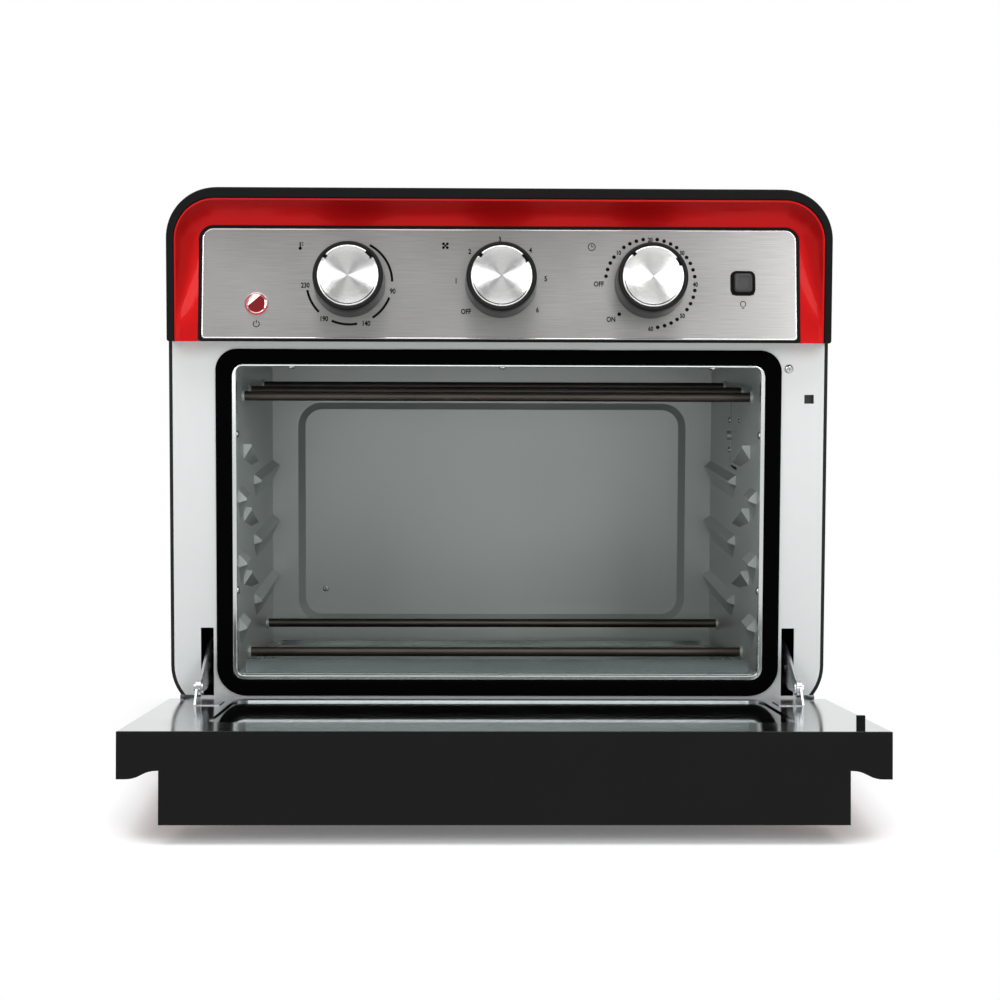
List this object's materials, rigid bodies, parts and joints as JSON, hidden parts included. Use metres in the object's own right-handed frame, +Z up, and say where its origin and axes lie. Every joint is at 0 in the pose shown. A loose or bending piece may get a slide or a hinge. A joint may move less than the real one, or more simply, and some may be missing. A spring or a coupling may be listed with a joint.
{
  "type": "air fryer oven",
  "caption": "Counter-top air fryer oven with a drop-down glass door, rack ledges, straight heating tubes, a ceiling fan, turning control knobs, a push button and a crumb tray.",
  "frame": {"origin": "on the floor under the middle of the whole object with its door open", "axes": "+X to the right, +Y to the rear, +Z up; the mouth and the door face -Y"},
  "size_m": [0.4, 0.5846, 0.3486],
  "materials": {
    "black_casing": "fine satin black paint",
    "black_plastic": "satin black moulded plastic",
    "galvanised": "smooth galvanised sheet",
    "brushed_steel": "brushed stainless",
    "red_lacquer": "glossy red lacquer",
    "seal_rubber": "matt black seal",
    "heater_steel": "dark heat-toned tube",
    "ceramic": "unglazed ceramic",
    "bright_steel": "zinc-plated steel",
    "spun_aluminium": "spun aluminium",
    "clear_glass": "clear tempered glass",
    "dark_glass": "tinted tempered glass",
    "red_lens": "clear red lens",
    "chrome_trim": "chromed ring",
    "control_plastic": "phenolic",
    "motor_steel": "plated steel can"
  },
  "bodies": {
    "oven": {"base_plate": "black_casing", "button_frame": "black_plastic", "cavity_back": "galvanised", "cavity_ceiling": "galvanised", "cavity_floor": "galvanised", "cavity_wall_left": "galvanised", "cavity_wall_right": "galvanised", "control_panel": "brushed_steel", "cord_gland": "black_plastic", "door_seal": "seal_rubber", "door_switch": "control_plastic", "fan_guard": "galvanised", "fan_housing": "galvanised", "fan_motor": "motor_steel", "feet": "black_plastic", "front_flange": "galvanised", "function_control": "control_plastic", "heater_insulators": "ceramic", "hinge_ears": "bright_steel", "hinge_rollers": "bright_steel", "housing_frame": "black_plastic", "lamp_box": "galvanised", "lamp_bulb": "clear_glass", "lamp_window": "clear_glass", "light_switch": "control_plastic", "lower_heaters": "heater_steel", "mouth_rim": "galvanised", "outer_casing": "black_casing", "power_lamp_holder": "chrome_trim", "power_lamp_lens": "red_lens", "rear_panel": "galvanised", "red_band": "red_lacquer", "thermostat_control": "control_plastic", "timer_control": "control_plastic", "upper_heaters": "heater_steel"},
    "door": {"door_inner_panel": "brushed_steel", "door_inner_glass": "clear_glass", "door_outer_glass": "dark_glass", "door_rails": "black_plastic", "door_trims": "red_lacquer", "door_bottom_rail": "black_plastic", "door_pins": "bright_steel", "door_handle": "black_plastic", "door_striker": "black_plastic", "hinge_plates": "bright_steel", "hinge_rivets": "bright_steel"},
    "arm_left": {"hinge_arm_left": "bright_steel"},
    "arm_right": {"hinge_arm_right": "bright_steel"},
    "fan": {"fan_impeller": "spun_aluminium"},
    "tray": {"crumb_tray": "galvanised"},
    "light_key": {"light_button": "black_plastic"},
    "thermostat_dial": {"thermostat_knob": "black_plastic", "thermostat_cap": "spun_aluminium", "thermostat_shaft": "bright_steel"},
    "function_dial": {"function_knob": "black_plastic", "function_cap": "spun_aluminium", "function_shaft": "bright_steel"},
    "timer_dial": {"timer_knob": "black_plastic", "timer_cap": "spun_aluminium", "timer_shaft": "bright_steel"}
  },
  "joints": [
    {"name": "door_hinge", "type": "hinge", "parent": "oven", "child": "door", "pos_m": [0, -0.06668, 0.031], "axis": [1, 0, 0], "range_deg": [-85, 0]},
    {"name": "crumb_tray_slide", "type": "slide", "parent": "oven", "child": "tray", "axis": [0, -0.9973, 0.0732], "range_m": [0, 0.25]},
    {"name": "light_button_press", "type": "slide", "parent": "oven", "child": "light_key", "axis": [0, 0.9848, -0.1736], "range_m": [0, 0.002], "stiffness_N_per_m": 400, "springref_m": -0.001},
    {"name": "fan_spin", "type": "hinge", "parent": "oven", "child": "fan", "pos_m": [0, 0.09432, 0.243], "axis": [0, 0, 1], "continuous": true},
    {"name": "arm_pivot_left", "type": "hinge", "parent": "door", "child": "arm_left", "pos_m": [-0.1765, -0.10305, 0.05125], "axis": [1, 0, 0], "range_deg": [0, 61]},
    {"name": "arm_pivot_right", "type": "hinge", "parent": "door", "child": "arm_right", "pos_m": [0.1765, -0.10305, 0.05125], "axis": [1, 0, 0], "range_deg": [0, 61]},
    {"name": "thermostat_turn", "type": "hinge", "parent": "oven", "child": "thermostat_dial", "pos_m": [-0.0901, -0.06964, 0.29165], "axis": [0, -0.9848, 0.1736], "range_deg": [-240, 0]},
    {"name": "function_turn", "type": "hinge", "parent": "oven", "child": "function_dial", "pos_m": [0.0007, -0.06964, 0.29165], "axis": [0, -0.9848, 0.1736], "range_deg": [-270, 0]},
    {"name": "timer_turn", "type": "hinge", "parent": "oven", "child": "timer_dial", "pos_m": [0.0904, -0.06964, 0.29165], "axis": [0, -0.9848, 0.1736], "range_deg": [-270, 45]}
  ],
  "couplings": [
    {"joint": "arm_pivot_left", "follows": "door_hinge", "ratio": -0.71765},
    {"joint": "arm_pivot_right", "follows": "door_hinge", "ratio": -0.71765}
  ]
}
